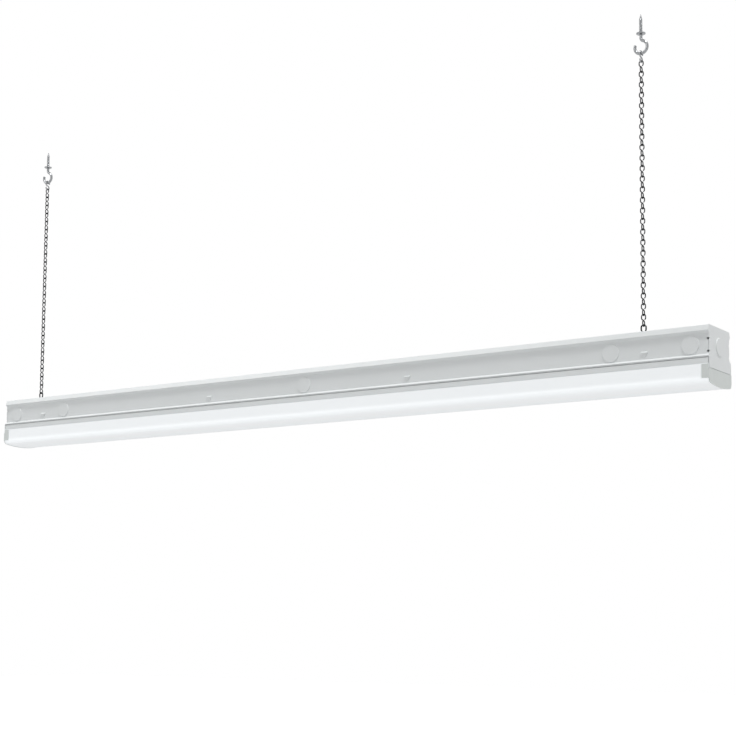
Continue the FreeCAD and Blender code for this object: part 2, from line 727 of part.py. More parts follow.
case_top = s.steel + s.driver_plate
plate_start = s.driver_start - s.driver_ear
plate_box = box("driver_plate_blank", (plate_start, -s.driver_width / 2, -case_top),
                (s.driver_length + 2 * s.driver_ear, s.driver_width, s.driver_plate))
plate_holes = [screw_hole(f"driver_plate_hole_{index}", x, 0, -2 * case_top, 2 * case_top)
               for index, x in enumerate(driver_screw_places)]
light_node(cut("driver_plate_cut", plate_box, plate_holes), "driver_base")

case_half = [
    (s.driver_width / 2, -case_top),
    (s.driver_width / 2, -case_top - s.driver_height + s.driver_bevel),
    (s.driver_width / 2 - s.driver_bevel, -case_top - s.driver_height),
]
light_node(section_body("driver_section", mirrored(case_half), s.driver_start, s.driver_length),
           "driver_case")

driver_screws = [screw(f"driver_screw_{index}", x, 0, -case_top - s.screw_head_height,
                       s.screw_head_height, -case_top - s.screw_head_height / 2,
                       case_top + s.screw_head_height / 2)
                 for index, x in enumerate(driver_screw_places)]
light_node(group("driver_screw_set", driver_screws), "driver_screws")


# Supply side: terminal block, line and neutral leads, ground lead and its screw.

lead_level = -case_top - s.lead_exit
terminal_end = s.driver_start - s.supply_run
light_node(box("terminal", (terminal_end - s.terminal_length, s.supply_middle - s.terminal_width / 2,
                            -s.steel - s.terminal_height),
               (s.terminal_length, s.terminal_width, s.terminal_height)), "terminal_block")


def lead(label, points, radius):
    shape = tube(rounded_path(points, radius), number_of(s.lead_wire))
    light_node(feature(label + "_wire", shape), label)


supply_bow = s.supply_spacing / 4
for label, way in (("supply_lead_line", -1), ("supply_lead_neutral", 1)):
    y = s.supply_middle + way * s.supply_spacing / 2
    lead(label, [
        (s.driver_start, y, lead_level),
        (s.driver_start - s.supply_run / 4, y, lead_level),
        (s.driver_start - s.supply_run / 2, y, lead_level - supply_bow),
        (s.driver_start - s.supply_run * 3 / 4, y, lead_level),
        (terminal_end, y, lead_level),
    ], 30)

ground_level = -s.steel - s.ground_head_height / 2
lead("ground_lead", [
    (s.driver_start, s.ground_line, lead_level),
    (s.driver_start - s.ground_run / 3, s.ground_line, lead_level),
    (s.driver_start - s.ground_run * 2 / 3, s.ground_line, ground_level),
    (ground_x + s.screw_head, s.ground_line, ground_level),
], 20)
light_node(screw("ground_screw_blank", ground_x, s.ground_line, -s.steel - s.ground_head_height,
                 s.ground_head_height, -2 * s.steel, 2 * s.steel), "ground_screw")


# LED tray: web, stepped side flanges and two barbed rails for the lens, with the plug's window.

tray_y = side_y - s.tray_inset
tray_top = side_height + s.tray_gap
tray_step_level = tray_top + s.tray_upper
tray_bottom = tray_step_level + s.tray_lower
tray_low_y = tray_y + s.tray_step
rail_y = side_y - s.rail_inset
rail_foot = tray_bottom + s.rail_depth
barb_top = rail_foot - s.rail_barb_height
web_top = tray_bottom - s.steel

tray_right = [
    (tray_y, -tray_top),
    (tray_y, -tray_step_level),
    (tray_low_y, -tray_step_level),
    (tray_low_y, -tray_bottom),
    (rail_y, -tray_bottom),
    (rail_y, -barb_top),
    (rail_y + s.rail_barb, -barb_top),
    (rail_y + s.rail_barb, -rail_foot),
    (rail_y - s.steel, -rail_foot),
    (rail_y - s.steel, -tray_bottom),
]
tray_inside = mirrored([
    (tray_low_y - s.steel, -web_top),
    (tray_low_y - s.steel, -tray_step_level),
    (tray_y - s.steel, -tray_step_level),
    (tray_y - s.steel, -tray_top),
])
tray_outline = mirrored(tray_right) + tray_inside[4:] + tray_inside[:4]
tray_start = -half_length + s.tray_end_gap
tray_length = s.fixture_length - 2 * s.tray_end_gap
tray_blank = section_body("tray_section", tray_outline, tray_start, tray_length)

plug_x = s.driver_start - s.plug_run
plug_low = tray_bottom + s.plug_reach
board_long = half_length - s.board_end - s.board_split / 2
board_starts = {"left": -half_length + s.board_end, "right": s.board_split / 2}
screw_gaps = number_of(s.board_screw_count) - 1
chip_pitch = (board_long - 2 * s.chip_margin) / (s.chip_count - 1)
board_screw_span = board_long - 2 * s.board_screw_shift
board_screw_places = []
for start in board_starts.values():
    for index in range(int(number_of(s.board_screw_count))):
        x = start + s.board_screw_shift + board_screw_span * index / screw_gaps
        side = -1 if index % 2 else 1
        board_screw_places.append((x, -s.board_screw_line * side))

tray_holes = [box("plug_window", (plug_x - s.plug_length / 2 - s.plug_fit,
                                  s.plug_line - s.plug_width / 2 - s.plug_fit, -tray_bottom - s.steel),
                  (s.plug_length + 2 * s.plug_fit, s.plug_width + 2 * s.plug_fit, 3 * s.steel))]
for side, x in (("left", -half_length), ("right", half_length - s.rail_end)):
    tray_holes.append(box(f"rail_stop_{side}", (x, -side_y, -tray_bottom - 2 * s.rail_depth),
                          (s.rail_end, s.fixture_width, 2 * s.rail_depth)))
for index, (x, y) in enumerate(board_screw_places):
    tray_holes.append(screw_hole(f"tray_hole_{index}", x, y, -tray_bottom - s.steel, 3 * s.steel))
light_node(cut("tray", tray_blank, tray_holes), "led_tray")


# Spring clips: a foot on the tray and an arm beside the channel's lip, near each dart.

def catch(name, x, way):
    arm_y = lip_edge - s.catch_play
    arm_low = arm_y - s.catch_sheet if way > 0 else -arm_y
    foot_low = arm_y - s.catch_foot if way > 0 else -arm_y
    foot = box(name + "_foot", (x - s.catch_width / 2, foot_low, -web_top),
               (s.catch_width, s.catch_foot, s.catch_sheet))
    arm = box(name + "_arm", (x - s.catch_width / 2, arm_low, -web_top),
              (s.catch_width, s.catch_sheet, s.catch_rise))
    return fuse(name, [foot, arm])


catches = []
for index, x in enumerate(dart_places):
    catches.append(catch(f"catch_{index}_back", x, 1))
    catches.append(catch(f"catch_{index}_front", x, -1))
light_node(group("catch_set", catches), "tray_catches")


# LED boards under the tray, their packages, screws and the connector between them.

board_low = tray_bottom + s.board_sheet
for side, start in board_starts.items():
    blank = box(f"board_{side}_blank", (start, -s.board_width / 2, -board_low),
                (board_long, s.board_width, s.board_sheet))
    holes = [screw_hole(f"board_{side}_hole_{index}", x, y, -board_low - s.board_sheet,
                        3 * s.board_sheet)
             for index, (x, y) in enumerate(board_screw_places)
             if (x.number > 0) == (side == "right")]
    light_node(cut(f"board_{side}", blank, holes), f"led_board_{side}")

chips = []
for start in board_starts.values():
    for index in range(int(number_of(s.chip_count))):
        x = start + s.chip_margin + chip_pitch * index - s.chip_width / 2
        chips.append(box(f"chip_{len(chips)}", (x, -s.chip_width / 2, -board_low - s.chip_height),
                         (s.chip_width, s.chip_width, s.chip_height)))
light_node(group("chip_set", chips), "led_chips")

board_screws = [screw(f"board_screw_{index}", x, y, -board_low - s.screw_head_height,
                      s.screw_head_height, -board_low - s.screw_head_height / 2,
                      board_low - web_top + s.screw_head_height / 2)
                for index, (x, y) in enumerate(board_screw_places)]
light_node(group("board_screw_set", board_screws), "board_screws")

light_node(box("board_link_body", (-s.link_plug_length / 2, -s.link_plug_width / 2,
                                   -board_low - s.link_plug_height),
               (s.link_plug_length, s.link_plug_width, s.link_plug_height)), "board_link")


# LED feed: output leads, socket, plug through the tray, short leads and the board's connector.

plug_top = -web_top + s.plug_rise
plug_side = s.plug_line - s.plug_width / 2
light_node(box("plug_body", (plug_x - s.plug_length / 2, plug_side, -plug_low),
               (s.plug_length, s.plug_width, plug_low + plug_top)), "disconnect_plug")
socket_low = plug_top + s.socket_gap
light_node(box("socket_body", (plug_x - s.plug_length / 2, plug_side, socket_low),
               (s.plug_length, s.plug_width, s.socket_height)), "disconnect_socket")

for label, way in (("output_lead_positive", 1), ("output_lead_negative", -1)):
    y = s.plug_line + way * s.output_spacing / 2
    lead(label, [
        (s.driver_start, y, lead_level),
        (plug_x, y, lead_level),
        (plug_x, y, socket_low + s.socket_height),
    ], 4.8)

connector_x = plug_x - s.connector_length / 2
light_node(box("board_connector_body", (connector_x, s.connector_line - s.connector_width / 2,
                                        -board_low - s.connector_height),
               (s.connector_length, s.connector_width, s.connector_height)), "board_connector")
lead_stubs = []
stub_start = s.connector_line + s.connector_width / 2
for way in (-1, 1):
    lead_stubs.append(cylinder(f"board_lead_{len(lead_stubs)}",
                               (plug_x + way * s.output_spacing / 2, stub_start,
                                -board_low - s.connector_height / 2), (0, 1, 0),
                               s.lead_wire / 2, plug_side - stub_start))
light_node(group("board_lead_set", lead_stubs), "board_leads")


# Lens: a U of frosted sheet with a crowned underside, whose inner ribs rest over the rails' barbs.

lens_top = tray_bottom + s.lens_gap
lens_bottom = lens_top + s.lens_depth
crown_radius = (side_y * side_y + s.lens_crown * s.lens_crown) / (2 * s.lens_crown)
crown_centre = crown_radius - lens_bottom


def lens_side(inset, top):
    """The +Y side of the lens's outline, moved in by inset: its level top and its lower corner."""
    y = side_y - inset
    radius = crown_radius - inset
    return [(y, -top), (y, crown_centre - root(radius * radius - y * y))]


def crowned_body(name, inset, top, start, length):
    """A solid with the lens's outline, moved in by inset."""
    outline = mirrored(lens_side(inset, top))
    return section_body(name, outline, start, length, [(s.lens_corner - inset, outline[1:3])],
                        [(1, crown_centre)])


lens_in = side_y - s.lens_wall
rib_low = barb_top - s.cap_fit
lens_outside = mirrored(lens_side(0, lens_top))
inner_half = [
    (lens_in, -lens_top),
    (lens_in, -rib_low + s.lens_rib_height),
    (lens_in - s.lens_rib, -rib_low + s.lens_rib_height),
    (lens_in - s.lens_rib, -rib_low),
    (lens_in, -rib_low),
    lens_side(s.lens_wall, lens_top)[1],
]
lens_inside = [(-y, z) for y, z in inner_half] + inner_half[::-1]
lens_rounds = [
    (s.lens_corner, lens_outside[1:3]),
    (s.lens_corner - s.lens_wall, lens_inside[5:7]),
]
cap_face = half_length + s.end_joggle
cap_back = cap_face - s.steel - s.cap_clear
lens_end = cap_back - s.cap_fit
light_node(section_body("lens_section", lens_outside + lens_inside, -lens_end, 2 * lens_end, lens_rounds,
                        [(1, crown_centre), (9, crown_centre)]), "lens")


# Lens end caps: a face flush with the end plate's lower part, a plug inside the lens, and a tab down
# each side of the lens.

def end_cap(side, way):
    def span(inner, outer):
        """Start and length along X of what runs from inner to outer, measured from the middle."""
        return (inner if way > 0 else -outer), outer - inner

    face_x, face_long = span(cap_back, cap_face)
    face_top = s.end_drop + s.cap_seam
    face = crowned_body(f"cap_{side}_face", -s.cap_rim, face_top, face_x, face_long)
    plug_start, plug_long = span(cap_back - s.cap_plug, cap_back)
    plug = crowned_body(f"cap_{side}_plug", s.lens_wall + s.cap_plug_gap, rail_foot + s.cap_plug_gap,
                        plug_start, plug_long)
    tab_out = side_y + s.cap_fit + s.cap_tab
    tab_low = s.cap_tab_start + s.cap_tab_height
    tab_x, tab_long = span(cap_face - s.cap_tab_length, cap_back)
    shoulder = box(f"cap_{side}_shoulder", (face_x, -tab_out, -tab_low),
                   (face_long, 2 * tab_out, tab_low - face_top))
    tabs = [box(f"cap_{side}_tab_{edge}", (tab_x, y, -tab_low), (tab_long, s.cap_tab, s.cap_tab_height))
            for edge, y in (("front", -tab_out), ("back", tab_out - s.cap_tab))]
    light_node(fuse(f"cap_{side}", [face, plug, shoulder] + tabs), f"lens_end_cap_{side}")


end_cap("left", -1)
end_cap("right", 1)


# Hooks in the light's top: each lower loop passes under the bridge between two slots.

for side, x in (("left", -hook_span / 2), ("right", hook_span / 2)):
    shape = double_hook(s.hanger_upper, s.hanger_neck, s.hanger_lower, s.s_wire, X_WAY, -50)
    node(feature(f"hanger_{side}", shape), f"hanger_hook_{side}", (x, 0, hanger_centre))


# Every object is sound before any file is written.

doc.recompute()
for item in doc.Objects:
    if "Invalid" in item.State or "Error" in item.State:
        raise RuntimeError(f"{item.Name} failed: {item.State}")
for item in nodes:
    if item.Shape.isNull() or not item.Shape.isValid():
        raise RuntimeError(f"{item.Label} has no valid shape")
os.makedirs("parts", exist_ok=True)
for item in nodes:
    item.Shape.exportStep(f"parts/{item.Label}.step")
    print(f"{item.Label}: {len(item.Shape.Solids)} solids, {item.Shape.Volume:.0f} mm3")
print(f"ceiling plane to the light's top {-light_top.number:.2f}, hook spacing {hook_span.number:.1f}")
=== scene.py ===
"""A long white strip light on two jack chains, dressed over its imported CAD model."""

import math

import bpy
import numpy as np
from mathutils import Matrix, Vector


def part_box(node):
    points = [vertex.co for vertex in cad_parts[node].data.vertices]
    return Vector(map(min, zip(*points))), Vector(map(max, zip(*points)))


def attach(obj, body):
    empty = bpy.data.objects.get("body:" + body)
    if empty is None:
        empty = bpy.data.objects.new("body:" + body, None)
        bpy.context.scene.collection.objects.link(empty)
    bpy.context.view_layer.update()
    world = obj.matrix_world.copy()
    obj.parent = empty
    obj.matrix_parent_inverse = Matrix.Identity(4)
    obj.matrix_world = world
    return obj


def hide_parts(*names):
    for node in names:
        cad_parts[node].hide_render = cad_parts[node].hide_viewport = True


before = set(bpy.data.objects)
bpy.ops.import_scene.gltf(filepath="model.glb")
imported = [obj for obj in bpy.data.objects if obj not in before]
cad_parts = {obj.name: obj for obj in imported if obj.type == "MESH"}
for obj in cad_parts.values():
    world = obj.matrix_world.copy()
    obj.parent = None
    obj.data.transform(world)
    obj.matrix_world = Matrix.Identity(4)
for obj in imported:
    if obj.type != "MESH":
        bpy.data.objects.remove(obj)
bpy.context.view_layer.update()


# Camera: a long lens below the light and to its right, tilted up a little and rolled by half a degree.
# A small lens shift keeps the light high in the picture while its upright edges stay nearly parallel.

camera_data = bpy.data.cameras.new("camera")
camera_data.sensor_width = 36.0
camera_data.lens = 76.678
camera_data.shift_y = 0.14
camera = bpy.data.objects.new("camera", camera_data)
bpy.context.scene.collection.objects.link(camera)
bpy.context.scene.camera = camera

yaw, pitch, roll = (math.radians(angle) for angle in (34.569, 5.888, 0.499))
ahead = Vector((-math.sin(yaw) * math.cos(pitch), math.cos(yaw) * math.cos(pitch), math.sin(pitch)))
level = Vector((math.cos(yaw), math.sin(yaw), 0.0))
upright = level.cross(ahead)
rightward = math.cos(roll) * level + math.sin(roll) * upright
upward = -math.sin(roll) * level + math.cos(roll) * upright
camera_place = Vector((1.35575, -1.7972, -0.76882))
camera.matrix_world = Matrix.Translation(camera_place) @ Matrix(
    (rightward, upward, -ahead)).transposed().to_4x4()


# Studio: a pale floor well below the light, a white backdrop and two lamps. The key lamp is a broad sun
# from high on the right. The other is a soft panel on the left, where the sloping top band mirrors it.
# The backdrop's full white is only for the eye, for reflections and for what is seen through plastic.

bpy.context.scene.view_settings.view_transform = "Standard"


def add_node(tree, kind, inputs=(), **settings):
    """One node of a kind, with its settings. inputs pairs a socket's name or number with the value it
    holds or with the output that feeds it."""
    node = tree.nodes.new(kind)
    for name, value in settings.items():
        setattr(node, name, value)
    for name, value in dict(inputs).items():
        if isinstance(value, bpy.types.NodeSocket):
            tree.links.new(value, node.inputs[name])
        else:
            node.inputs[name].default_value = value
    return node


def linear(value):
    """An sRGB hex colour as linear RGBA: each channel over 255, through the sRGB curve's inverse."""
    channels = np.array([int(value[start:start + 2], 16) for start in (1, 3, 5)]) / 255
    curve = np.where(channels <= 0.04045, channels / 12.92, ((channels + 0.055) / 1.055) ** 2.4)
    return (*curve.tolist(), 1.0)


world = bpy.data.worlds.new("studio")
world.use_nodes = True
bpy.context.scene.world = world
tree = world.node_tree
tree.nodes.clear()
path = add_node(tree, "ShaderNodeLightPath").outputs
shown = add_node(tree, "ShaderNodeMath", {0: path["Is Camera Ray"], 1: path["Is Glossy Ray"]},
                 operation="MAXIMUM").outputs[0]
shown = add_node(tree, "ShaderNodeMath", {0: shown, 1: path["Is Transmission Ray"]},
                 operation="MAXIMUM").outputs[0]
ambient = add_node(tree, "ShaderNodeBackground", {"Color": linear("#FFFFFF"), "Strength": 0.32})
backdrop = add_node(tree, "ShaderNodeBackground", {"Color": linear("#FFFFFF"), "Strength": 1.0})
mixed = add_node(tree, "ShaderNodeMixShader", {0: shown, 1: ambient.outputs[0], 2: backdrop.outputs[0]})
add_node(tree, "ShaderNodeOutputWorld", {"Surface": mixed.outputs[0]})

# Matt paint on the floor: evenly pale, and lifted a little for the eye so that it meets the backdrop.
floor_level, floor_reach, floor_glow = -2.4, 40.0, 0.5
floor_mesh = bpy.data.meshes.new("floor")
floor_mesh.from_pydata([(across * floor_reach, deep * floor_reach, floor_level)
                        for across, deep in ((-1, -1), (1, -1), (1, 1), (-1, 1))], [], [(0, 1, 2, 3)])
floor = bpy.data.objects.new("floor", floor_mesh)
bpy.context.scene.collection.objects.link(floor)
floor_paint = bpy.data.materials.new("matt_floor_paint")
floor_paint.use_nodes = True
floor_mesh.materials.append(floor_paint)
tree = floor_paint.node_tree
shader = tree.nodes["Principled BSDF"]
shader.inputs["Base Color"].default_value = linear("#D2D2D2")
shader.inputs["Roughness"].default_value = 0.95
path = add_node(tree, "ShaderNodeLightPath").outputs
shown = add_node(tree, "ShaderNodeMath", {0: path["Is Camera Ray"], 1: path["Is Glossy Ray"]},
                 operation="MAXIMUM").outputs[0]
white = add_node(tree, "ShaderNodeMath", {0: shown, 1: floor_glow}, operation="MULTIPLY").outputs[0]
tree.links.new(white, shader.inputs["Emission Strength"])
shader.inputs["Emission Color"].default_value = linear("#FFFFFF")

key_data = bpy.data.lights.new("key_lamp", "SUN")
key_data.energy = 2.1
key_data.angle = math.radians(12)
key = bpy.data.objects.new("key_lamp", key_data)
bpy.context.scene.collection.objects.link(key)
key_way = Vector((0.32, -0.2, 0.93))
key.rotation_euler = key_way.to_track_quat("Z", "Y").to_euler()

strip_data = bpy.data.lights.new("strip_lamp", "AREA")
strip_data.shape = "RECTANGLE"
strip_data.size, strip_data.size_y = 2.9, 1.6
strip_data.energy = 42.0
strip = bpy.data.objects.new("strip_lamp", strip_data)
bpy.context.scene.collection.objects.link(strip)
strip_way, strip_distance = Vector((-0.589, -0.587, 0.555)), 5.0
light_middle = Vector((0.027, 0.0, -0.43))
strip.location = light_middle + strip_distance * strip_way
strip.rotation_euler = strip_way.to_track_quat("Z", "Y").to_euler()


# Ceiling hooks: 4 mm steel wire with a wood screw rolled on its end, a pressed collar and an open eye,
# bright zinc plated.

MM = 0.001
UP = np.array([0.0, 0.0, 1.0])
ALONG = np.array([1.0, 0.0, 0.0])
ACROSS = np.array([0.0, 1.0, 0.0])


def new_material(name, base, numbers):
    """A node material: its tree, its Principled shader with the base colour and the numbers that are the
    same all over, and the object's own coordinates in metres."""
    material = bpy.data.materials.new(name)
    material.use_nodes = True
    shader = material.node_tree.nodes["Principled BSDF"]
    shader.inputs["Base Color"].default_value = linear(base)
    for socket, value in numbers.items():
        shader.inputs[socket].default_value = value
    place = add_node(material.node_tree, "ShaderNodeTexCoord").outputs["Object"]
    return material, material.node_tree, shader, place


def corners(node):
    """A CAD node's lowest and highest corners, as arrays."""
    return tuple(np.array(corner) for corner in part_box(node))


def arc(centre, radius, start, stop, across, points):
    """Points on a circle about centre: cosine of the angle along across, sine along +Z, in degrees."""
    angle = np.radians(np.linspace(start, stop, points))[:, None]
    return np.asarray(centre) + radius * (np.cos(angle) * across + np.sin(angle) * UP)


def shell(rings):
    """A closed skin: quads join each ring of points to the next, and a flat face closes both ends.
    Seen from the last ring, the points of every ring run anticlockwise."""
    rows, columns = rings.shape[:2]
    row, column = np.meshgrid(np.arange(rows - 1), np.arange(columns), indexing="ij")
    beside = (column + 1) % columns
    faces = np.stack([row * columns + column, row * columns + beside, (row + 1) * columns + beside,
                      (row + 1) * columns + column], axis=-1).reshape(-1, 4).tolist()
    ring = np.arange(columns)
    faces += [ring[::-1].tolist(), (ring + (rows - 1) * columns).tolist()]
    return rings.reshape(-1, 3), faces


def wire(path, radius, beside, sides=12):
    """A round wire: a circle square to the path at each of its points. beside is a direction that the
    path never takes; the circle's first axis is what is left of it square to the path. The two end
    circles are drawn in, which chamfers the cut ends."""
    along = np.gradient(path, axis=0)
    along /= np.linalg.norm(along, axis=1)[:, None]
    bevel = 0.3 * radius
    path = np.concatenate([path[:1], path[:1] + bevel * along[:1], path[1:-1],
                           path[-1:] - bevel * along[-1:], path[-1:]])
    along = np.concatenate([along[:1], along, along[-1:]])
    first = beside - (along @ beside)[:, None] * along
    first /= np.linalg.norm(first, axis=1)[:, None]
    second = np.cross(along, first)
    size = np.full((len(path), 1, 1), radius)
    size[[0, -1]] -= bevel
    turn = np.arange(sides) * 2 * np.pi / sides
    ring = np.cos(turn)[None, :, None] * first[:, None] + np.sin(turn)[None, :, None] * second[:, None]
    return shell(path[:, None] + size * ring)


def turned(profile, centre, sides=32):
    """A profile of (radius, height) pairs, lowest first, turned about the vertical through centre."""
    radius, height = np.array(profile).T
    turn = np.arange(sides) * 2 * np.pi / sides
    ring = np.cos(turn)[:, None] * ALONG + np.sin(turn)[:, None] * ACROSS
    return shell(np.asarray(centre) + radius[:, None, None] * ring + height[:, None, None] * UP)


def new_piece(name, shells, material, body, slot, *nodes):
    """One object at the origin from closed skins, that rides on a body and stands for CAD nodes. It is
    smooth but for its sharp edges."""
    sharp = math.radians(35)
    starts = np.cumsum([0] + [len(points) for points, faces in shells])
    mesh = bpy.data.meshes.new(name)
    mesh.from_pydata(np.concatenate([points for points, faces in shells]).tolist(), [],
                     [[index + start for index in face]
                      for start, (points, faces) in zip(starts.tolist(), shells) for face in faces])
    mesh.polygons.foreach_set("use_smooth", np.ones(len(mesh.polygons), bool))
    mesh.set_sharp_from_angle(angle=sharp)
    mesh.materials.append(material)
    piece = bpy.data.objects.new(name, mesh)
    bpy.context.scene.collection.objects.link(piece)
    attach(piece, body)
    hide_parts(*nodes)
    return piece


def screw_thread(centre, root, crest, pitch, length, point):
    """A wood screw thread pointing up: the radius at height h and angle a rises from root to crest by
    the triangle wave of h/pitch - a/turn, whose flanks have the slope flank. Both shrink to a tip over
    the last stretch."""
    steps, sides, flank, tip, bulge = 10, 24, 3.2, 0.12, 0.8
    height = np.arange(0, length + 1e-9, pitch / steps)[:, None]
    turn = np.arange(sides)[None] * 2 * np.pi / sides
    phase = (height / pitch - turn / (2 * np.pi)) % 1
    ridge = np.clip(1 - np.abs(phase - 0.5) * flank, 0, 1)
    taper = np.clip((length - height) / point, tip, 1) ** bulge
    radius = (root + (crest - root) * ridge) * taper
    rings = (np.asarray(centre) + (radius * np.cos(turn))[..., None] * ALONG
             + (radius * np.sin(turn))[..., None] * ACROSS + height[..., None] * UP)
    return shell(rings)


# Zinc plated steel wire: drawn smooth, then plated bright with a thin clear chromate. It mirrors its
# surroundings in a greyer tone, and fine drawing marks break the highlight up.
zinc_wire, tree, shader, place = new_material(
    "bright_zinc_plated_steel_wire", "#8E9092", {"Metallic": 1.0, "Roughness": 0.24})
streaks = add_node(tree, "ShaderNodeTexNoise", {"Vector": place, "Scale": 1 / (1.2 * MM), "Detail": 3.0})
tone = add_node(tree, "ShaderNodeValToRGB", {"Fac": streaks.outputs["Fac"]})
tone.color_ramp.elements[0].position, tone.color_ramp.elements[1].position = 0.3, 0.7
tone.color_ramp.elements[0].color = linear("#7C7E80")
tone.color_ramp.elements[1].color = linear("#A6A8AA")
tree.links.new(tone.outputs["Color"], shader.inputs["Base Color"])
relief = add_node(tree, "ShaderNodeBump", {"Height": streaks.outputs["Fac"], "Strength": 0.25,
                                           "Distance": 0.05 * MM})
tree.links.new(relief.outputs["Normal"], shader.inputs["Normal"])

hook_wire, hook_shank, hook_bend, hook_eye, hook_mouth = 2.0 * MM, 6.0 * MM, 5.0 * MM, 8.5 * MM, -205
thread_root, thread_crest, thread_pitch, thread_length, thread_point = np.array([1.75, 2.4, 2.2, 25, 7]) * MM
collar_profile = [(radius * MM, height * MM) for radius, height in (
    (2.0, -1.6), (5.0, -1.6), (5.7, -1.3), (6.0, -0.7), (6.0, 0.0), (2.0, 0.0))]
for side in ("left", "right"):
    low, high = corners(f"ceiling_hook_{side}")
    root_point = np.array([(low[0] + high[0]) / 2, (low[1] + high[1]) / 2, 0.0])
    eye_drop = math.sqrt(hook_eye ** 2 + 2 * hook_eye * hook_bend)
    lean = math.degrees(math.atan2(eye_drop, hook_bend))
    bend_centre = root_point + hook_bend * ALONG - hook_shank * UP
    eye_centre = root_point - (hook_shank + eye_drop) * UP
    hook_path = np.concatenate([
        root_point - np.linspace(0, hook_shank, 4)[:-1, None] * UP,
        arc(bend_centre, hook_bend, 180, 180 + lean, ALONG, 12)[:-1],
        arc(eye_centre, hook_eye, lean, hook_mouth, ALONG, 56),
    ])
    thread = screw_thread(root_point, thread_root, thread_crest, thread_pitch, thread_length, thread_point)
    new_piece(f"{side}_ceiling_hook",
              [wire(hook_path, hook_wire, ACROSS, 16), turned(collar_profile, root_point), thread],
              zinc_wire, "ceiling", "bright_wire", f"ceiling_hook_{side}")


# S-hooks: short lengths of 2 mm steel wire, bent both ways and then zinc plated. Each hangs by its wider
# loop in a ceiling hook and holds the chain's first link in its smaller one.

def double_hook(centre, upper, neck, lower, across, start):
    """The centre line of an S: an upper loop that starts at the angle start, with straight sides as long
    as neck, then a lower loop about centre that runs on to the angle end."""
    end = -195
    foot = centre + (lower + upper) * UP
    crown = foot + neck * UP
    return np.concatenate([
        arc(foot, upper, start, 0, across, 8)[:-1],
        arc(crown, upper, 0, 180, across, 26),
        arc(foot, upper, 180, 270, across, 14)[0 if neck else 1:],
        arc(centre, lower, 90, end, across, 40)[1:],
    ])


s_wire, s_upper, s_lower, s_mouth = 1.0 * MM, 4.0 * MM, 3.3 * MM, -10
for side in ("left", "right"):
    low, high = corners(f"s_hook_{side}")
    centre = np.array([(low[0] + high[0]) / 2, (low[1] + high[1]) / 2, low[2] + s_lower + s_wire])
    new_piece(f"{side}_s_hook",
              [wire(double_hook(centre, s_upper, 0.0, s_lower, ACROSS, s_mouth), s_wire, ALONG)],
              zinc_wire, f"{side}_s_hook", "bright_wire", f"s_hook_{side}")


# Jack chains: each link is one 1.6 mm steel wire, plated and bent into two loops at right angles with its
# ends closed in at the waist. Nothing joins the links: each hangs loose in the one above.

# Nickel plated chain wire with painted dark reflections: its colour is dark all over and darker still in
# patches a few millimetres long, so only the lamps' highlights show bright.
chain_plating, tree, shader, place = new_material(
    "nickel_plated_chain_wire", "#6E7072", {"Metallic": 1.0, "Roughness": 0.2})
painted_reflection_patches = add_node(tree, "ShaderNodeTexNoise", {"Vector": place, "Scale": 1 / (2.5 * MM), "Detail": 2.0})
tone = add_node(tree, "ShaderNodeValToRGB", {"Fac": painted_reflection_patches.outputs["Fac"]})
tone.color_ramp.elements[0].position, tone.color_ramp.elements[1].position = 0.35, 0.65
# Both ends of the ramp are kept dark: painted dark reflection, not tarnish on the wire.
tone.color_ramp.elements[0].color = linear("#101112")
tone.color_ramp.elements[1].color = linear("#505254")
tree.links.new(tone.outputs["Color"], shader.inputs["Base Color"])

link_bow, link_loop, link_waist, link_pitch, link_count = 2.8 * MM, 7.3 * MM, 0.8 * MM, 13.75 * MM, 25
link_wire, loop_start, loop_end = 0.8 * MM, -62, 236
waist = -(link_loop + link_waist / 2) * UP
upper_loop = np.concatenate([
    arc((link_bow - link_loop) * UP, link_bow, loop_start, 0, ALONG, 6),
    arc(-link_bow * UP, link_bow, 0, 180, ALONG, 15),
    arc((link_bow - link_loop) * UP, link_bow, 180, loop_end, ALONG, 6),
])
lower_loop = 2 * waist + (upper_loop[::-1] @ np.array([[0, -1, 0], [1, 0, 0], [0, 0, -1.0]]))
link_path = np.concatenate([upper_loop, waist[None], lower_loop])
link_points, link_faces = wire(link_path, link_wire, (ALONG + ACROSS) / math.sqrt(2), 8)
for side in ("left", "right"):
    low, high = corners(f"chain_{side}")
    crown = np.array([(low[0] + high[0]) / 2, (low[1] + high[1]) / 2, high[2] - link_wire])
    links = [(link_points + crown - index * link_pitch * UP, link_faces) for index in range(link_count)]
    new_piece(f"{side}_jack_chain", links, chain_plating, f"{side}_chain", "bright_wire", f"chain_{side}")


# Channel housing and its two end plates: 0.8 mm sheet steel, stamped with knockouts and darts, folded and
# painted. The end plates close the channel and are screwed to its top.

def dress(material, *nodes):
    """Gives CAD nodes a material in all their slots."""
    for node in nodes:
        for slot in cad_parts[node].material_slots:
            slot.material = material


# White baked enamel on steel: sprayed and stoved, a clean white with a soft sheen. Its faint orange
# peel has waves of about 2 mm, and the film is a touch thinner and greyer here and there.
enamel, tree, shader, place = new_material(
    "white_baked_enamel", "#E8ECEC", {"Roughness": 0.28})
peel = add_node(tree, "ShaderNodeTexNoise", {"Vector": place, "Scale": 1 / (2.0 * MM), "Detail": 2.0})
relief = add_node(tree, "ShaderNodeBump", {"Height": peel.outputs["Fac"], "Strength": 0.12,
                                           "Distance": 0.04 * MM})
tree.links.new(relief.outputs["Normal"], shader.inputs["Normal"])
film = add_node(tree, "ShaderNodeTexNoise", {"Vector": place, "Scale": 1 / (90 * MM), "Detail": 3.0})
tone = add_node(tree, "ShaderNodeMix", {0: film.outputs["Fac"], 6: linear("#E5E9E9"), 7: linear("#EBEEEF")},
                data_type="RGBA")
tree.links.new(tone.outputs[2], shader.inputs["Base Color"])
dress(enamel, "channel_housing", "end_plate_left", "end_plate_right")


# End plate screws: four pan heads with a cross recess, cold formed from steel wire and zinc plated. They
# are driven down through the channel's top into the end plates' flanges.

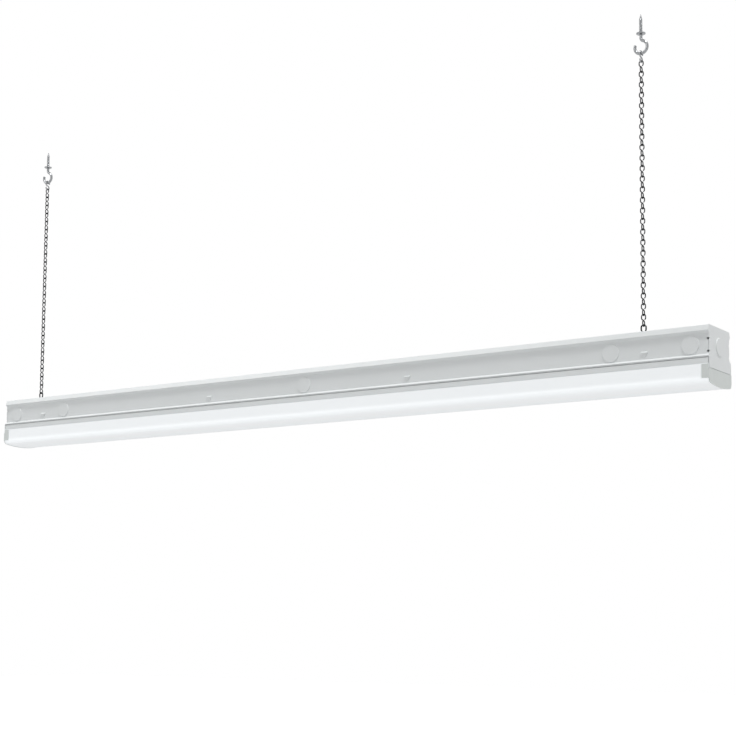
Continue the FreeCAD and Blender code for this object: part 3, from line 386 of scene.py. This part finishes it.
def pan_screw(centre, way, head, shank, head_height, reach):
    """A pan-head screw along Z that points away from way. The head's height falls by the fourth power of
    the distance from its middle. The cross is two bands, each a smooth step in one direction, whose
    floor deepens towards the middle. Sizes of the cross are shares of the head's."""
    arm, flank, cross_reach, slope, depth, fall = 0.16, 0.06, 0.62, 0.3, 0.5, 0.45
    radius = np.linspace(0.03, 1.0, 14)[:, None] * head
    turn = np.arange(48)[None] * 2 * np.pi / 48
    x, y = np.abs(radius * np.cos(turn)), np.abs(radius * np.sin(turn))
    band = np.clip((arm * head - np.minimum(x, y)) / (flank * head), 0, 1)
    cross = band * np.clip((cross_reach * head - radius) / (slope * head), 0, 1) * depth * head_height
    level = head_height * (1 - fall * (radius / head) ** 4) - cross
    rim, foot, point = 0.3 * head_height, 0.96 * head, 0.6 * shank
    below = [(head, rim), (foot, 0.0), (shank, 0.0), (shank, -reach * 0.9), (point, -reach)]
    wide = np.array([row[0] for row in below])[:, None] * np.ones_like(turn)
    high = np.array([row[1] for row in below])[:, None] * np.ones_like(turn)
    wide, high = np.concatenate([radius * np.ones_like(turn), wide]), np.concatenate([level, high])
    rings = np.stack([wide * np.cos(turn), wide * np.sin(turn), way * high], axis=-1) + centre
    return shell(rings[::-1] if way > 0 else rings)


# Zinc plated screw steel: bright blue-white zinc over cold formed heads, a little grainy.
screw_zinc, tree, shader, place = new_material(
    "zinc_plated_screw_steel", "#B9BCBE", {"Metallic": 1.0, "Roughness": 0.3})
grain = add_node(tree, "ShaderNodeTexNoise", {"Vector": place, "Scale": 1 / (0.5 * MM), "Detail": 2.0})
rough = add_node(tree, "ShaderNodeMapRange", {"Value": grain.outputs["Fac"], "To Min": 0.22, "To Max": 0.42})
tree.links.new(rough.outputs[0], shader.inputs["Roughness"])

pan_head, pan_shank, pan_height, pan_reach = 3.3 * MM, 1.7 * MM, 1.8 * MM, 2.4 * MM
low, high = corners("end_plate_screws")
level = high[2] - pan_height
heads = [np.array([x, y, level]) for x in (low[0] + pan_head, high[0] - pan_head)
         for y in (low[1] + pan_head, high[1] - pan_head)]
new_piece("end_plate_pan_screws", [pan_screw(head, 1, pan_head, pan_shank, pan_height, pan_reach)
                                   for head in heads],
          screw_zinc, "light", "zinc_screws", "end_plate_screws")


# LED driver: a sealed case of moulded white plastic on a zinc coated steel plate. Two screws hold it under
# the channel's top. It turns the mains supply into direct current for the boards.

# Electrogalvanised sheet: an even grey zinc whose roughness varies in patches of about 4 mm.
driver_steel, tree, shader, place = new_material(
    "electrogalvanised_sheet", "#B4B7B9", {"Metallic": 1.0, "Roughness": 0.38})
patches = add_node(tree, "ShaderNodeTexNoise", {"Vector": place, "Scale": 1 / (4.0 * MM), "Detail": 4.0})
rough = add_node(tree, "ShaderNodeMapRange", {"Value": patches.outputs["Fac"], "To Min": 0.3, "To Max": 0.5})
tree.links.new(rough.outputs[0], shader.inputs["Roughness"])
dress(driver_steel, "driver_base")

# Flame retardant polycarbonate: moulded off-white with a fine spark-eroded grain of about 0.5 mm.
driver_plastic, tree, shader, place = new_material(
    "moulded_white_polycarbonate", "#DAD9D4", {"Roughness": 0.5})
grain = add_node(tree, "ShaderNodeTexNoise", {"Vector": place, "Scale": 1 / (0.5 * MM), "Detail": 2.0})
relief = add_node(tree, "ShaderNodeBump", {"Height": grain.outputs["Fac"], "Strength": 0.3,
                                           "Distance": 0.05 * MM})
tree.links.new(relief.outputs["Normal"], shader.inputs["Normal"])
dress(driver_plastic, "driver_case")

driver_screw_reach = 2.0 * MM
low, high = corners("driver_screws")
new_piece("driver_pan_screws",
          [pan_screw(np.array([x, (low[1] + high[1]) / 2, low[2] + pan_height]), -1, pan_head, pan_shank,
                     pan_height, driver_screw_reach) for x in (low[0] + pan_head, high[0] - pan_head)],
          screw_zinc, "light", "zinc_screws", "driver_screws")


# Terminal block: a push-in connector moulded in glass filled nylon, under the channel's top. It has three
# pairs of wire ports in its supply end and three release levers underneath.

def block(low, high, edge, steps=3, columns=8):
    """A box with rounded edges along X: rounded rectangles of the section, drawn in by the quarter
    circle edge * (1 - sin) at both ends. Corners hold the quarter circles of the section."""
    size = (high - low) / 2
    middle = (high + low) / 2
    quarter = np.linspace(0, np.pi / 2, columns)
    turn = np.concatenate([quarter + corner * np.pi / 2 for corner in range(4)])
    way = np.stack([np.cos(turn), np.sin(turn)], axis=-1)
    inner = np.sign(np.concatenate([np.tile(np.array(sign, float), (columns, 1))
                                    for sign in ((1, 1), (-1, 1), (-1, -1), (1, -1))]))
    slope = np.linspace(0, np.pi / 2, steps)
    reach = np.concatenate([edge * np.sin(slope), edge * np.sin(slope[::-1])])
    inset = edge * (1 - np.cos(slope))
    along = np.concatenate([inset - size[0], size[0] - inset[::-1]])
    rings = np.empty((len(along), len(turn), 3))
    rings[..., 0] = (middle[0] + along)[:, None]
    rings[..., 1:] = middle[1:] + inner * (size[1:] - edge) + reach[:, None, None] * way
    return shell(rings)


def port(mouth, outside, hole, depth):
    """A round wire entry along +X: rings run round a short collar, over its rim and down its hole, which
    a flat floor closes."""
    turn = np.arange(20) * 2 * np.pi / 20
    ring = np.stack([0 * turn, np.cos(turn), np.sin(turn)], axis=-1)
    profile = ((depth, outside), (0.2 * outside, outside), (0.0, outside * 0.93), (0.0, hole * 1.2),
               (0.3 * depth, hole), (0.9 * depth, hole))
    return shell(np.stack([mouth + x * ALONG + radius * ring for x, radius in profile])[:, ::-1])


# Glass filled polyamide: pale grey, faintly mottled and dull.
terminal_plastic, tree, shader, place = new_material("glass_filled_polyamide", "#C9CBC8", {"Roughness": 0.55})
mottle = add_node(tree, "ShaderNodeTexNoise", {"Vector": place, "Scale": 1 / (1.0 * MM), "Detail": 3.0})
tone = add_node(tree, "ShaderNodeMix", {0: mottle.outputs["Fac"], 6: linear("#BFC1BE"), 7: linear("#D3D5D2")},
                data_type="RGBA")
tree.links.new(tone.outputs[2], shader.inputs["Base Color"])

collar_stand, lever_stand, pole_pitch, row_offset = 1.5 * MM, 1.6 * MM, 7.6 * MM, 2.9 * MM
lever_start, lever_stop, lever_half, lever_depth = 5.0 * MM, 16.0 * MM, 2.4 * MM, 2.2 * MM
port_radius, wire_hole, port_depth = 2.4 * MM, 1.5 * MM, 1.7 * MM
body_edge, lever_edge = 0.9 * MM, 0.6 * MM
low, high = corners("terminal_block")
body_low = low + np.array([collar_stand, 0.0, lever_stand])
middle_y, middle_z = (low[1] + high[1]) / 2, (body_low[2] + high[2]) / 2
poles = [middle_y + pole * pole_pitch for pole in (-1, 0, 1)]
levers = [block(np.array([low[0] + lever_start, y - lever_half, low[2]]),
                np.array([low[0] + lever_stop, y + lever_half, low[2] + lever_depth]), lever_edge)
          for y in poles]
ports = [port(np.array([low[0], y, middle_z + row * row_offset]), port_radius, wire_hole, port_depth)
         for y in poles for row in (-1, 1)]
new_piece("push_in_terminal", [block(body_low, high, body_edge)] + levers + ports,
          terminal_plastic, "light", "terminal_plastic", "terminal_block")


# Leads: stranded copper in extruded soft PVC, black, white and green on the supply side, red and blue to
# the LEDs. The green one ends under its own screw.

# Plasticised PVC: extruded, with a slight sheen and a faint waviness of 3 mm along the wire.
for colour_name, base, nodes in (("black", "#2A2B2D", ["supply_lead_line"]),
                                 ("white", "#E6E6E2", ["supply_lead_neutral"]),
                                 ("green", "#2E7D4A", ["ground_lead"]),
                                 ("red", "#B3342E", ["output_lead_positive", "board_leads"]),
                                 ("blue", "#2F5FA8", ["output_lead_negative"])):
    pvc, tree, shader, place = new_material(f"soft_pvc_{colour_name}", base, {"Roughness": 0.4})
    waves = add_node(tree, "ShaderNodeTexNoise", {"Vector": place, "Scale": 1 / (3.0 * MM)})
    relief = add_node(tree, "ShaderNodeBump", {"Height": waves.outputs["Fac"], "Strength": 0.3,
                                               "Distance": 0.05 * MM})
    tree.links.new(relief.outputs["Normal"], shader.inputs["Normal"])
    dress(pvc, *nodes)

ground_head_height, ground_reach = 2.4 * MM, 0.8 * MM
low, high = corners("ground_screw")
new_piece("ground_pan_screw",
          [pan_screw(np.array([(low[0] + high[0]) / 2, (low[1] + high[1]) / 2, low[2] + ground_head_height]),
                     -1, pan_head, pan_shank, ground_head_height, ground_reach)],
          screw_zinc, "light", "zinc_screws", "ground_screw")


# LED tray: folded from the same painted sheet as the channel; its narrow flange shows over the lens.
# Eight spring clips on it grip the channel's lips.

dress(enamel, "led_tray")

# Hardened spring steel: blue-grey from tempering, with a thin oil film.
spring, tree, shader, place = new_material(
    "tempered_spring_steel", "#8B8F94", {"Metallic": 1.0, "Roughness": 0.3})
temper = add_node(tree, "ShaderNodeTexNoise", {"Vector": place, "Scale": 1 / (6.0 * MM), "Detail": 2.0})
tone = add_node(tree, "ShaderNodeMix", {0: temper.outputs["Fac"], 6: linear("#7B8087"), 7: linear("#9C9FA2")},
                data_type="RGBA")
tree.links.new(tone.outputs[2], shader.inputs["Base Color"])
dress(spring, "tray_catches")


# LED boards: two aluminium boards under white solder mask, end to end on the tray. They carry 68 moulded
# packages in one row, and ten screws hold them.

# Solder mask: screen printed white epoxy, glossy, with a very light ripple.
mask, tree, shader, place = new_material("white_solder_mask", "#EFEFEA", {"Roughness": 0.3})
ripple = add_node(tree, "ShaderNodeTexNoise", {"Vector": place, "Scale": 1 / (5.0 * MM)})
relief = add_node(tree, "ShaderNodeBump", {"Height": ripple.outputs["Fac"], "Strength": 0.2,
                                           "Distance": 0.03 * MM})
tree.links.new(relief.outputs["Normal"], shader.inputs["Normal"])
dress(mask, "led_board_left", "led_board_right")

# Phosphor in silicone: yellow powder in clear gel, grainy at 0.3 mm, in a white moulded cup.
phosphor, tree, shader, place = new_material("phosphor_in_silicone", "#E3C75A", {"Roughness": 0.25})
powder = add_node(tree, "ShaderNodeTexNoise", {"Vector": place, "Scale": 1 / (0.3 * MM)})
tone = add_node(tree, "ShaderNodeMix", {0: powder.outputs["Fac"], 6: linear("#D9B944"), 7: linear("#EFD878")},
                data_type="RGBA")
tree.links.new(tone.outputs[2], shader.inputs["Base Color"])

chips_per_board, chip_margin, screws_per_board, screw_offset = 34, 17.0 * MM, 5, 6.0 * MM
cup_profile = ((1.5, 0.0), (1.5, 0.6), (1.4, 0.7), (1.15, 0.7), (1.1, 0.55))
board_low = corners("led_board_left")[0][2]
chip_places = []
for side in ("left", "right"):
    low, high = corners(f"led_board_{side}")
    chip_places += [np.array([x, 0.0, board_low])
                    for x in np.linspace(low[0] + chip_margin, high[0] - chip_margin, chips_per_board)]
# Each cup is a stack of squares: half a side and the drop below the board, in mm. The last is the gel.
square = np.array([[1, 1], [-1, 1], [-1, -1], [1, -1]])
cup_rings = np.stack([np.column_stack([square * half * MM, np.full(4, -drop * MM)])
                      for half, drop in cup_profile])
cup_points, cup_faces = shell(cup_rings[:, ::-1])
chips = new_piece("led_packages", [(cup_points + at, cup_faces) for at in chip_places],
                  mask, "tray", "led_phosphor", "led_chips")
chips.data.materials.append(phosphor)
chips.data.polygons.foreach_set("material_index", np.tile(
    np.arange(len(cup_faces)) == len(cup_faces) - 1, len(chip_places)).astype(np.int32))

board_heads = []
for side in ("left", "right"):
    low, high = corners(f"led_board_{side}")
    board_heads += [np.array([x, screw_offset if index % 2 else -screw_offset, board_low])
                    for index, x in enumerate(np.linspace(low[0] + chip_margin, high[0] - chip_margin,
                                                          screws_per_board))]
new_piece("board_pan_screws", [pan_screw(head, -1, pan_head, pan_shank, pan_height, pan_reach)
                               for head in board_heads],
          screw_zinc, "tray", "zinc_screws", "board_screws")


# Plug, socket, link and board connector: moulded shells of unpigmented nylon, each with a narrower nose
# at its two ends. The plug is on the tray and its socket is on the driver's leads.

# Natural nylon: slightly yellow white, soft sheen, faint flow marks of 2 mm.
nylon, tree, shader, place = new_material("natural_nylon", "#E6E3DA", {"Roughness": 0.4})
flow = add_node(tree, "ShaderNodeTexNoise", {"Vector": place, "Scale": 1 / (2.0 * MM), "Detail": 2.0})
tone = add_node(tree, "ShaderNodeMix", {0: flow.outputs["Fac"], 6: linear("#DFDCD2"), 7: linear("#ECE9E1")},
                data_type="RGBA")
tree.links.new(tone.outputs[2], shader.inputs["Base Color"])

nose_step, nose_length, nose_side, nose_face = 0.6 * MM, 2.4 * MM, 1.2 * MM, 0.4 * MM
shell_edge, nose_edge = 0.5 * MM, 0.4 * MM
for name, node, body, slot_name in (("nylon_plug", "disconnect_plug", "tray", "plug_nylon"),
                                    ("nylon_socket", "disconnect_socket", "light", "plug_nylon"),
                                    ("board_link_shell", "board_link", "tray", "plug_nylon"),
                                    ("board_connector_shell", "board_connector", "tray", "plug_nylon")):
    low, high = corners(node)
    shells = [block(low + nose_step * ALONG, high - nose_step * ALONG, shell_edge, 3, 5)]
    for x in (low[0], high[0] - nose_length):
        shells.append(block(np.array([x, low[1] + nose_side, low[2] + nose_face]),
                            np.array([x + nose_length, high[1] - nose_side, high[2] - nose_face]),
                            nose_edge, 3, 5))
    new_piece(name, shells, nylon, body, slot_name, node)


# Lens: a U of frosted acrylic, extruded in one length with rounded lower corners and a slightly crowned
# underside. It is open at the top and snaps over the tray's rails.

# Frosted acrylic: white pigment and a fine matt skin. Its emission is painted glow that lifts it in a bright
# room, with a painted highlight strongest at the lower corners, and least where the eye grazes it. Extrusion
# leaves faint lines along its length, about 1.5 mm apart.
acrylic, tree, shader, place = new_material(
    "frosted_acrylic", "#E4E7E8", {"Roughness": 0.42, "Emission Color": linear("#F4F7FA")})
corner_rise, corner_reach, corner_painted_glow, side_painted_glow, grazing_share = 6.5 * MM, 5.5 * MM, 0.48, 0.3, 0.3
line_pitch, line_stretch = 1.5 * MM, 0.01
height = add_node(tree, "ShaderNodeSeparateXYZ", {0: place}).outputs["Z"]
offset = add_node(tree, "ShaderNodeMath", {0: height, 1: corners("lens")[0][2] + corner_rise},
                  operation="SUBTRACT").outputs[0]
# Emission strength by height: painted glow, highest at the lower corners as a painted highlight, lower on the
# sides.
glow = add_node(tree, "ShaderNodeMapRange", {
    "Value": add_node(tree, "ShaderNodeMath", {0: offset}, operation="ABSOLUTE").outputs[0],
    "From Min": 0.0, "From Max": corner_reach, "To Min": corner_painted_glow, "To Max": side_painted_glow},
    interpolation_type="SMOOTHSTEP")
# The painted glow falls to a share where the view grazes the surface.
graze = add_node(tree, "ShaderNodeMapRange", {
    "Value": add_node(tree, "ShaderNodeLayerWeight", {"Blend": 0.5}).outputs["Facing"],
    "From Min": 0.6, "From Max": 1.0, "To Min": 1.0, "To Max": grazing_share})
glow = add_node(tree, "ShaderNodeMath", {0: glow.outputs[0], 1: graze.outputs[0]}, operation="MULTIPLY")
tree.links.new(glow.outputs[0], shader.inputs["Emission Strength"])
stretched = add_node(tree, "ShaderNodeMapping", {"Vector": place, "Scale": (line_stretch, 1.0, 1.0)})
lines = add_node(tree, "ShaderNodeTexNoise", {"Vector": stretched.outputs[0], "Scale": 1 / line_pitch})
relief = add_node(tree, "ShaderNodeBump", {"Height": lines.outputs["Fac"], "Strength": 0.2,
                                           "Distance": 0.04 * MM})
tree.links.new(relief.outputs["Normal"], shader.inputs["Normal"])
dress(acrylic, "lens")


# End caps: moulded grey-white plastic, pushed into the lens's ends. A narrow tab of each runs down the
# outside of the lens at its sides.

# Grey-white polycarbonate: moulded, with a fine eroded grain of 0.6 mm.
cap_plastic, tree, shader, place = new_material("moulded_polycarbonate", "#DEE3E1", {"Roughness": 0.45})
grain = add_node(tree, "ShaderNodeTexNoise", {"Vector": place, "Scale": 1 / (0.6 * MM), "Detail": 2.0})
relief = add_node(tree, "ShaderNodeBump", {"Height": grain.outputs["Fac"], "Strength": 0.15,
                                           "Distance": 0.03 * MM})
tree.links.new(relief.outputs["Normal"], shader.inputs["Normal"])
dress(cap_plastic, "lens_end_cap_left", "lens_end_cap_right")


# Hanger hooks: 2 mm plated steel wire, bent so that the wide lower loop grips the bridge between two slots
# in the channel's top. The upper loop is closed in round the chain's last link.

hanger_wire, hanger_upper, hanger_neck, hanger_lower = 1.0 * MM, 3.3 * MM, 2.3 * MM, 4.6 * MM
hanger_mouth = -50
for side in ("left", "right"):
    low, high = corners(f"hanger_hook_{side}")
    centre = np.array([(low[0] + high[0]) / 2, (low[1] + high[1]) / 2, low[2] + hanger_lower + hanger_wire])
    hanger_path = double_hook(centre, hanger_upper, hanger_neck, hanger_lower, ALONG, hanger_mouth)
    # The chain's material, with its painted dark reflections, darkens these hooks too.
    new_piece(f"{side}_hanger_hook", [wire(hanger_path, hanger_wire, ACROSS)],
              chain_plating, "light", "bright_wire", f"hanger_hook_{side}")
